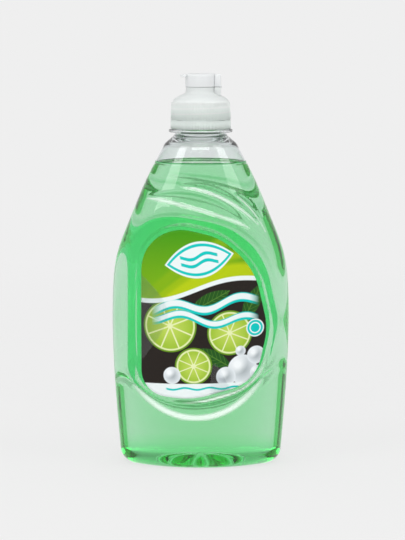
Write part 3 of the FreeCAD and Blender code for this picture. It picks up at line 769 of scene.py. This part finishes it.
class Finish:
    """A material, or a world, and the nodes that make it."""

    def __init__(self, name, kind="Material"):
        owners = bpy.data.worlds if kind == "World" else bpy.data.materials
        self.owner = owners.new(name)
        self.owner.use_nodes = True
        self.nodes = self.owner.node_tree.nodes
        self.links = self.owner.node_tree.links
        self.nodes.clear()
        self.out = self.nodes.new(f"ShaderNodeOutput{kind}")

    def add(self, kind, settings, *values, out=0, **named):
        """Any node: its settings are set first, then its sockets in order, then its sockets by name."""
        node = self.nodes.new(kind)
        for key, value in settings.items():
            if key == "stops":
                while len(node.color_ramp.elements) < len(value):
                    node.color_ramp.elements.new(0.5)
                for stop, (place, colour) in zip(node.color_ramp.elements, value):
                    stop.position, stop.color = place, (*colour, 1)
            else:
                setattr(node, key, value)
        pairs = [(node.inputs[i], v) for i, v in enumerate(values)]
        pairs += [(node.inputs[key.replace("_", " ")], v) for key, v in named.items()]
        for socket, value in pairs:
            if isinstance(value, Number):
                self.links.new(value.socket, socket)
            elif value is not None:
                coloured = isinstance(value, tuple) and socket.type == "RGBA"
                socket.default_value = (*value, 1) if coloured else value
        return Number(self, node.outputs[out])

    def rays(self, *kinds):
        """1 for a ray of one of these kinds, and 0 for any other."""
        sockets = self.add("ShaderNodeLightPath", {}).socket.node.outputs
        share, *others = (Number(self, sockets[f"Is {kind} Ray"]) for kind in kinds)
        for other in others:
            share = share.most(other)
        return share

    def place(self):
        """Where the shaded point is, in millimetres: across, out to the back, and up."""
        coords = self.add("ShaderNodeTexCoord", {}, out=3)
        split = self.add("ShaderNodeSeparateXYZ", {}, coords)
        sockets = split.socket.node.outputs
        return [Number(self, socket) / MM for socket in sockets]

    def grain(self, per_metre):
        """A fine cloud of values from 0 to 1, fixed to the object's own coordinates."""
        return self.add("ShaderNodeTexNoise", {}, self.add("ShaderNodeTexCoord", {}, out=3), None, per_metre)

    def mix(self, share, one, other):
        """Colour one where share is 0, other where it is 1."""
        node = self.nodes.new("ShaderNodeMix")
        node.data_type = "RGBA"
        for index, value in ((0, share), (6, one), (7, other)):
            if isinstance(value, Number):
                self.links.new(value.socket, node.inputs[index])
            else:
                node.inputs[index].default_value = (*value, 1) if isinstance(value, tuple) else value
        return Number(self, node.outputs[2])

    def plastic(self, **sockets):
        """A Principled surface."""
        return self.add("ShaderNodeBsdfPrincipled", {}, **sockets)

    def lets_lamps_through(self, shader, tint=(0.75, 0.75, 0.75)):
        """The surface as it is, but clear to the straight rays that look for a lamp."""
        clear = self.add("ShaderNodeBsdfTransparent", {}, tint)
        return self.add("ShaderNodeMixShader", {}, self.rays("Shadow"), shader, clear)

    def finish_with(self, surface, volume=None):
        """Links the output and gives the material or the world."""
        self.links.new(surface.socket, self.out.inputs["Surface"])
        if volume is not None:
            self.links.new(volume.socket, self.out.inputs["Volume"])
        return self.owner


def srgb(red, green, blue):
    """A colour as a screen names it, 0 to 255, as the linear light that a shader wants."""
    shares = [value / 255 for value in (red, green, blue)]
    return tuple(s / 12.92 if s <= 0.04045 else ((s + 0.055) / 1.055) ** 2.4 for s in shares)


WHITE = (1.0, 1.0, 1.0)
print("middle grey as linear light:", round(srgb(128, 128, 128)[0], 3))

# %% [markdown]
# ## Clear plastic and soap
# Clear PET bends light and shines, and its wall looks grey where it is seen edge on. The soap bends light
# less, and takes out red and blue over its depth, which is why a thin corner looks paler than the middle.
# Where soap wets the wall the two are nearly one medium, so that part of the skin bends light very little. On the
# dry skin, relief that faces up gets a painted highlight and relief that faces down a painted shade.

# %% Clear PET, dry and wetted
PET_BENDING = 1.57
SOAP_BENDING = 1.36
FOOT_GLOW_HEIGHT = 9.0
FOOT_GLOW_COLOUR = srgb(205, 252, 222)
# Painted light on the relief: a darker green painted shade and a white painted highlight.
PAINTED_RELIEF_SHADE, PAINTED_GLEAM = srgb(120, 205, 150), srgb(240, 248, 243)
PAINTED_LIGHT_GAIN = 2.4


def clear_pet(name, bending, face_colour, edge_colour, paints_gleam):
    finish = Finish(name)
    facing = finish.add("ShaderNodeLayerWeight", {}, 0.35, out=1)
    tint = finish.mix(facing, face_colour, edge_colour)
    up = finish.place()[2]
    # Painted glow: near the ground the tint turns pale green, for the light that gathers at the foot.
    tint = finish.mix(up.under(FOOT_GLOW_HEIGHT, FOOT_GLOW_HEIGHT), tint, FOOT_GLOW_COLOUR)
    # Where the relief faces down, the tint is darkened as a painted shade. Where it faces up, a white diffuse is
    # mixed in as a painted highlight.
    slope = finish.add("ShaderNodeAttribute", {"attribute_name": "slope_tone"}, out=2)
    tint = finish.mix((slope * -PAINTED_LIGHT_GAIN - 0.15).clamped() * 0.8, tint, PAINTED_RELIEF_SHADE)
    skin = finish.plastic(Base_Color=tint, Roughness=0.015, IOR=bending, Transmission_Weight=1.0)
    if paints_gleam:
        painted_gleam = finish.add("ShaderNodeBsdfDiffuse", {}, PAINTED_GLEAM)
        skin = finish.add("ShaderNodeMixShader", {}, (slope * PAINTED_LIGHT_GAIN - 0.25).clamped() * 0.75, skin, painted_gleam)
    return finish.finish_with(finish.lets_lamps_through(skin))


dry_pet = clear_pet("clear_pet_dry", PET_BENDING, srgb(248, 250, 251), srgb(238, 245, 246), paints_gleam=True)
wet_pet = clear_pet("clear_pet_wetted", PET_BENDING / SOAP_BENDING, WHITE, WHITE, paints_gleam=False)
bottle.data.materials.append(dry_pet)
bottle.data.materials.append(wet_pet)
first_inside = (len(outside) + len(NECK_PROFILE) - 1) * COLUMNS
for face in bottle.data.polygons:
    wetted = face.index >= first_inside and face.center.z < SOAP_LEVEL * MM
    face.material_index = 1 if wetted else 0
print("wetted faces:", sum(face.material_index for face in bottle.data.polygons))

# %% [markdown]
# The soap's side lies inside the wall, so it is left clear and the skin does the bending there. Only the free
# top bends light, and its climb at the wall is tinted a darker green, a painted shade for the dark line at the
# soap's edge. The colour comes from the depth: the volume takes out red most and blue next, so a thin corner
# stays pale.

# %% Green soap
SOAP_LETS_THROUGH, SOAP_DENSITY = (0.10, 0.84, 0.286), 25.5
MENISCUS_SHADE_COLOUR = srgb(24, 168, 96)
soap_finish = Finish("green_soap")
up = soap_finish.place()[2]
free_surface = 1 - up.under(SOAP_LEVEL - 0.2, 0.1)
# Painted shade: the climb at the wall is tinted a darker green.
climb = 1 - up.under(SOAP_LEVEL + 0.35, 0.4)
surface_tint = soap_finish.mix(climb, WHITE, MENISCUS_SHADE_COLOUR)
liquid = soap_finish.plastic(Base_Color=surface_tint, Roughness=0.0, IOR=SOAP_BENDING, Transmission_Weight=1.0)
unseen_side = soap_finish.add("ShaderNodeBsdfTransparent", {}, WHITE)
shown = soap_finish.add("ShaderNodeMixShader", {}, free_surface, unseen_side, liquid)
depth_colour = soap_finish.add("ShaderNodeVolumeAbsorption", {}, SOAP_LETS_THROUGH, SOAP_DENSITY)
soap.data.materials.append(soap_finish.finish_with(soap_finish.lets_lamps_through(shown), depth_colour))
print("soap finish:", len(soap_finish.nodes), "nodes")

# %% [markdown]
# ## The printed film
# The print is a generic one: a green field with pale sweeps, a blank leaf-shaped badge with two waves in it, a
# dark field with slices of lime, leaves and balls of foam, and a pale strip at the foot. It could be an image,
# but a formula stays sharp at any size. Every figure is a distance in millimetres, turned into a mask.

# %% The label's print
LIME_SLICES = ((-17.0, -6.5, 13.5), (13.5, -10.0, 11.5), (-5.0, -27.0, 9.5))
LEAVES = ((3.0, 6.0, 12.0, 0.5), (-27.0, 8.0, 9.0, -0.7), (25.0, 5.0, 11.0, 1.1), (6.0, -23.0, 10.0, 2.6))
FOAM = (
    (20.0, -29.0, 7.5), (11.5, -32.5, 5.0), (27.0, -22.0, 4.6), (19.0, -19.5, 2.6), (-16.0, -32.0, 4.4),
    (27.5, -31.0, 3.6),
)
SWEEPS = (
    (17.0, 0.42, 0.012, 5.0, srgb(190, 205, 10)),
    (23.5, 0.50, 0.008, 2.2, srgb(158, 188, 8)),
    (11.0, 0.30, 0.010, 1.6, srgb(214, 216, 20)),
    (31.0, 0.62, 0.006, 3.2, srgb(132, 176, 12)),
)
RIBBONS = ((4.4, 0.10, 1.5), (-2.6, -0.04, 1.2))
SEAL, SPOKES = (26.5, -8.0), 8
PRINT_GRAIN, PLASTIC_GRAIN = 1900.0, 3000.0
AQUA, PAPER, NIGHT = srgb(0, 196, 190), srgb(232, 240, 240), srgb(24, 20, 22)
GLOW_COLOUR, GLOW_STRENGTH = (0.02, 0.75, 0.3), 0.5


def printed_film(name):
    """The printed side, painted figure by figure from the ground up."""
    finish = Finish(name)
    x, _, z = finish.place()
    across, up = x - LABEL_CENTRE[0], z - LABEL_CENTRE[1]

    def reach(cx, cy):
        """The distance from a middle."""
        dx, dy = across - cx, up - cy
        return (dx * dx + dy * dy).root()

    def paint(colour, mask, ink):
        """The ink over the colour, where the mask is 1."""
        return finish.mix(mask, colour, ink)

    # The green field with its sweeps
    colour = finish.mix((up * 0.035 - 0.5).clamped(), srgb(118, 172, 14), srgb(62, 148, 12))
    for lift, slope, bow, width, ink in SWEEPS:
        curve = across * across * bow * -1 + across * slope + lift
        colour = paint(colour, abs(up - curve).under(width, 2.6) * 0.8, ink)
    # A blank leaf-shaped badge with two waves in it
    bx, by = across * 0.985 + up * 0.17 - 2.6, up * 0.985 - across * 0.17 - 27.5
    lens = abs(by) - (1 - bx * bx / 280) * 8.2
    colour = paint(colour, lens.under(1.1, 0.35), PAPER)
    colour = paint(colour, lens.under(0.0, 0.35), AQUA)
    colour = paint(colour, lens.under(-1.5, 0.35), PAPER)
    for lift in (-1.8, 1.8):
        wave = (bx * 0.42).sine() * 1.1 + lift
        colour = paint(colour, abs(by - wave).under(0.85, 0.3) * abs(bx).under(9.5, 0.6), AQUA)
    # The dark field and the divider
    divider = across * 0.13 + (across * 0.085 + 0.4).sine() * 3.2 + 12.5
    night = up.under(divider, 0.4)
    grain = finish.grain(PRINT_GRAIN)
    dusk = finish.mix(grain * 0.5, NIGHT, srgb(58, 48, 34))
    colour = paint(colour, night, dusk)
    for cx, cy, long, turn in LEAVES:
        c, n = math.cos(turn), math.sin(turn)
        u, v = (across - cx) * c + (up - cy) * n, (up - cy) * c - (across - cx) * n
        leaf = abs(v) - (1 - u * u / long**2) * (long * 0.36)
        side_veins = abs((u - abs(v) * 1.1).remainder(2.6) - 1.3).under(0.16, 0.2)
        vein = (abs(v).under(0.25, 0.2) + side_veins).clamped()
        green = finish.mix(vein * 0.6, srgb(34, 84, 26), srgb(92, 140, 52))
        colour = paint(colour, leaf.under(0.0, 0.4) * night, green)
    for cx, cy, radius in LIME_SLICES:
        away = reach(cx, cy)
        turns = (up - cy).angle_to(across - cx) * (SPOKES / (2 * math.pi))
        spoke = abs(turns.remainder(1.0) - 0.5)
        pith = (away * spoke).under(radius * 0.035, 0.3)
        pulp = finish.mix((away / radius).clamped(), srgb(196, 216, 96), srgb(146, 184, 42))
        slice_ink = finish.mix((pith + away.under(1.2, 0.5)).clamped(), pulp, srgb(226, 234, 178))
        slice_ink = paint(slice_ink, 1 - away.under(radius - 1.7, 0.3), srgb(222, 232, 170))
        slice_ink = paint(slice_ink, 1 - away.under(radius - 0.8, 0.3), srgb(104, 150, 28))
        colour = paint(colour, away.under(radius, 0.35) * night, slice_ink)
    # Ribbons of foam across the dark field
    for lift, slope, thick in RIBBONS:
        wave = up - across * slope - (across * 0.19 + lift).sine() * 2.4 - lift
        side = abs(across - 1).under(25.0, 5.0)
        colour = paint(colour, abs(wave + 0.4).under(thick + 0.9, 0.4) * side * night, AQUA)
        colour = paint(colour, abs(wave).under(thick, 0.4) * side * night, PAPER)
    for cx, cy, radius in FOAM:
        away = reach(cx, cy)
        shine = reach(cx - radius * 0.35, cy + radius * 0.35).under(radius * 0.45, radius * 0.5)
        ball = finish.mix((away / radius).clamped(), srgb(150, 160, 164), srgb(226, 232, 236))
        ball = paint(ball, shine, srgb(242, 246, 248))
        colour = paint(colour, away.under(radius, 0.35), ball)
    # A ring at the right, and the divider over all
    seal = reach(*SEAL)
    colour = paint(colour, seal.under(4.6, 0.3), PAPER)
    colour = paint(colour, seal.under(4.0, 0.3), AQUA)
    colour = paint(colour, abs(seal - 2.6).under(0.3, 0.2), PAPER)
    colour = paint(colour, abs(up - divider).under(1.15, 0.35), PAPER)
    # The strip at the foot
    strip = up - across * 0.02 + 36.0
    colour = paint(colour, strip.under(0.0, 0.35), PAPER)
    ripple = abs(strip + 2.6 - (across * 0.5).sine() * 0.5).under(0.5, 0.3)
    colour = paint(colour, ripple * abs(across).under(19.0, 1.0), AQUA)
    film = finish.plastic(Base_Color=colour, Roughness=0.45, Specular_IOR_Level=0.15)
    return finish.finish_with(film)


def film_underside(name):
    """The glued side. A faint green glow stands in for the light that passes through the film."""
    finish = Finish(name)
    glow = {"Emission_Color": GLOW_COLOUR, "Emission_Strength": GLOW_STRENGTH}
    film = finish.plastic(Base_Color=srgb(232, 240, 234), Roughness=0.5, **glow)
    return finish.finish_with(film)


print_finish = printed_film("printed_film")
underside_finish = film_underside("film_underside")
for label in labels.values():
    label.data.materials.append(print_finish)
    label.data.materials.append(underside_finish)
print("nodes in the print:", len(print_finish.node_tree.nodes))

# %% [markdown]
# ## Milky plastic
# The closure is moulded without pigment, so light goes a little way into it and some goes through. A plain
# white would look like paint. Subsurface scattering softens it, a share of Translucent lets light through to
# the neck, and the thread under the skirt shows as faint lines that rise as they go round.

# %% Milky plastic of the closure
THREAD_RISE, THREAD_LINE = 2.7, 0.11
CLOUD_COLOUR, THROUGH_COLOUR = srgb(225, 230, 228), (0.9, 0.93, 0.92)
SHARE_THROUGH = 0.14


def milky_plastic(name, colour, roughness, paints_thread_and_light=False):
    """Plastic that lets some light in. Over a thread it is whiter along the lines of the thread. Its skirt is
    painted whiter against the shade of its ribs, and a painted green light from the soap grows towards its foot.
    """
    finish = Finish(name)
    x, y, z = finish.place()
    if paints_thread_and_light:
        turn = x.angle_to(0 - y) / (2 * math.pi)
        along = (z - turn * THREAD_RISE).remainder(THREAD_RISE) / THREAD_RISE
        line = abs(along - 0.5).under(THREAD_LINE, 0.12)
        skirt = z.under(187.4, 1.2) * (1 - z.under(180.6, 0.8))
        # Painted light: a pale green that grows towards the foot of the closure, for green light from the soap.
        painted_soap_light = z.under(186.0, 8.0) * 0.55
        # Painted light: the skirt is painted whiter than the shoulder, to lift the shade that its ribs cast.
        painted_light_tone = finish.mix(z.under(188.5, 1.5), colour, srgb(252, 254, 253))
        painted_light_tone = finish.mix(painted_soap_light, painted_light_tone, srgb(228, 244, 236))
        colour = finish.mix(line * skirt * 0.75, painted_light_tone, srgb(253, 254, 253))
    cloud = finish.grain(PLASTIC_GRAIN)
    colour = finish.mix(cloud * 0.08, colour, CLOUD_COLOUR)
    skin = finish.plastic(
        Base_Color=colour, Roughness=roughness, Subsurface_Weight=0.2, Subsurface_Radius=(0.004, 0.004, 0.004),
        Subsurface_Scale=0.5,
    )
    through = finish.add("ShaderNodeBsdfTranslucent", {}, THROUGH_COLOUR)
    return finish.finish_with(finish.add("ShaderNodeMixShader", {}, SHARE_THROUGH, skin, through))


natural_pp = milky_plastic("natural_plastic", srgb(232, 236, 235), 0.35, paints_thread_and_light=True)
lid_pp = milky_plastic("lid_plastic", srgb(240, 242, 243), 0.3)
lid.data.materials.append(lid_pp)
strap.data.materials.append(lid_pp)
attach(lid, "lid")
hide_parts("flip_lid")
print("milky finishes:", natural_pp.name, lid_pp.name)

# %% [markdown]
# The skirt's wall leans in by three degrees, so its ribs lean with it. The tamper band keeps its wall upright and
# has a lip inside, so its section is a closed outline that is turned about the axis.

# %% Ribs on the skirt and the band
RIB_COUNT, RIB_RADIUS = 120, 0.28 * MM
ribs = rib_tree()
lean = math.atan2(SKIRT_RADIUS - SKIRT_TOP_RADIUS, SKIRT_TOP - SKIRT_BOTTOM)
cap = grown(
    cap, ribs, natural_pp, Count=RIB_COUNT, Radius=15.04 * MM, Rib_Radius=RIB_RADIUS, Length=8.8 * MM,
    Middle=183.5 * MM, Lean=-lean,
)
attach(cap, "cap")
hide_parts("screw_cap")

band_section = rounded_outline(
    [
        ((13.0, 174.9), 0.1), ((13.0, 175.7), 0.1), ((14.3, 175.7), 0.1), ((14.3, 178.6), 0.15),
        ((15.3, 178.6), 0.08), ((15.3, 173.9), 0.25), ((14.3, 173.9), 0.2),
    ],
    5,
)
band_rings = turned_rings(band_section)
starts = [i * TURNED_COLUMNS for i in range(len(band_rings))]
band_faces = sum((quads_between(a, b, TURNED_COLUMNS) for a, b in zip(starts, starts[1:] + starts[:1])), [])
band = new_piece("band_ring", np.concatenate(band_rings) * MM, band_faces, outwards=True)
band = grown(
    band, ribs, natural_pp, Count=RIB_COUNT, Radius=15.26 * MM, Rib_Radius=RIB_RADIUS, Length=4.2 * MM,
    Middle=176.25 * MM, Lean=0.0,
)
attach(band, "band")
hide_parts("tamper_band")

# %% [markdown]
# The neck's thread is a low bump that goes twice round. A boolean would join it to the wall, but a swept bump
# sunk into the wall looks the same through clear plastic and keeps both meshes clean.

# %% Thread on the neck
THREAD = {"Turns": 2.1, "Radius": 12.55 * MM, "Rise": 5.4 * MM, "Bottom": 179.9 * MM, "Bump_Radius": 0.75 * MM}
thread = grown(new_piece("neck_thread"), thread_tree(), dry_pet, **THREAD)
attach(thread, "bottle")

# %% [markdown]
# ## Camera, floor and light
# The picture looks a little down on the bottle from in front. A pale floor keeps the shadow, a pale world
# stands behind it, and soft lamps give the light a direction.

# %% Camera
EYE = (1.2 * MM, -1175.0 * MM, 243.0 * MM)
TILT = math.radians(5.6)
LENS, SENSOR = 151.8, 36
SHIFT = (-0.0009, -0.0972)

camera_data = bpy.data.cameras.new("camera")
camera = bpy.data.objects.new("camera", camera_data)
bpy.context.scene.collection.objects.link(camera)
camera.location = EYE
camera.rotation_euler = (math.pi / 2 - TILT, 0, 0)
camera_data.lens, camera_data.sensor_width = LENS, SENSOR
camera_data.shift_x, camera_data.shift_y = SHIFT
camera_data.clip_start, camera_data.clip_end = 0.05, 50
bpy.context.scene.camera = camera
print("eye at", [round(value, 3) for value in EYE], "metres, lens", LENS, "mm")

# %% [markdown]
# Clear plastic shows what stands round it. The plain grey behind the bottle is for the camera alone. Rays that
# are bent or mirrored see a studio whose walls are darker a little above the floor, which draws the edges of
# the plastic. The other rays get an even grey, so the studio doesn't change what the lamps light.

# %% World
PALE, AMBIENT = srgb(239, 239, 239), (0.62, 0.62, 0.62)
STUDIO_WALLS = ((0.0, PALE[0]), (0.06, PALE[0]), (0.2, 0.6), (0.42, 0.6), (0.55, 0.95))
bpy.context.scene.view_settings.view_transform = "Standard"
bounces = bpy.context.scene.cycles
bounces.max_bounces, bounces.transmission_bounces, bounces.glossy_bounces = 24, 24, 16
bounces.transparent_max_bounces = 48

studio = Finish("studio", "World")
direction = studio.add("ShaderNodeSeparateXYZ", {}, studio.add("ShaderNodeTexCoord", {}, out=0), out=2)
stops = [(place, (level, level, level)) for place, level in STUDIO_WALLS]
walls = studio.add("ShaderNodeValToRGB", {"stops": stops}, direction)
backdrop = studio.add("ShaderNodeBackground", {}, studio.mix(studio.rays("Camera"), walls, PALE))
ambient = studio.add("ShaderNodeBackground", {}, AMBIENT)
seen = studio.rays("Camera", "Glossy", "Transmission")
bpy.context.scene.world = studio.finish_with(studio.add("ShaderNodeMixShader", {}, seen, ambient, backdrop))
print("studio nodes:", len(studio.nodes))

# %% [markdown]
# The floor is a wide disc that keeps the shadow, and it fades out before its rim. A share of it shines by
# itself, for the rays that see it, so that it is as pale as the background with no lamp burning it white.

# %% Floor
FLOOR_RADIUS, FADE_MIDDLE, FADE_WIDTH = 1.2, 550.0, 700.0
EVEN_SHARE = 0.8

finish = Finish("pale_floor")
x, y, _ = finish.place()
far = 1 - ((x * x + y * y).root()).under(FADE_MIDDLE, FADE_WIDTH)
matt = finish.add("ShaderNodeBsdfDiffuse", {}, PALE)
even = finish.add("ShaderNodeEmission", {}, PALE, 1.0)
share = finish.rays("Camera", "Glossy", "Transmission") * EVEN_SHARE
lit = finish.add("ShaderNodeMixShader", {}, share, matt, even)
clear = finish.add("ShaderNodeBsdfTransparent", {}, WHITE)
disc = bmesh.new()
bmesh.ops.create_circle(disc, cap_ends=True, segments=64, radius=FLOOR_RADIUS)
floor_mesh = bpy.data.meshes.new("floor")
disc.to_mesh(floor_mesh)
disc.free()
floor_mesh.materials.append(finish.finish_with(finish.add("ShaderNodeMixShader", {}, far, lit, clear)))
floor = bpy.data.objects.new("floor", floor_mesh)
bpy.context.scene.collection.objects.link(floor)
print("floor radius:", FLOOR_RADIUS, "metres")

# %% [markdown]
# Four soft lamps: a tall one at each side for the long gleams, a weak one above, and a wide one in front over
# the eye, which lights the label and leaves no hard gleam on it.

# %% Lamps
AIM = Vector((0, 0, 0.1))
LAMPS = {
    "left_lamp": ((-1.6, -1.0, 1.3), 0.9, 1.4, 10),
    "right_lamp": ((1.6, -0.8, 1.3), 0.9, 1.4, 8),
    "top_lamp": ((0, 0.3, 2.2), 0.9, 0.9, 3),
    "front_lamp": ((0.0, -1.7, 1.25), 1.8, 0.5, 12),
}

for name, (place, width, height, watts) in LAMPS.items():
    data = bpy.data.lights.new(name, "AREA")
    data.shape = "RECTANGLE"
    data.size, data.size_y, data.energy = width, height, watts
    lamp = bpy.data.objects.new(name, data)
    lamp.location = place
    lamp.rotation_euler = (AIM - lamp.location).to_track_quat("-Z", "Y").to_euler()
    bpy.context.scene.collection.objects.link(lamp)
    print(name, watts, "watts")
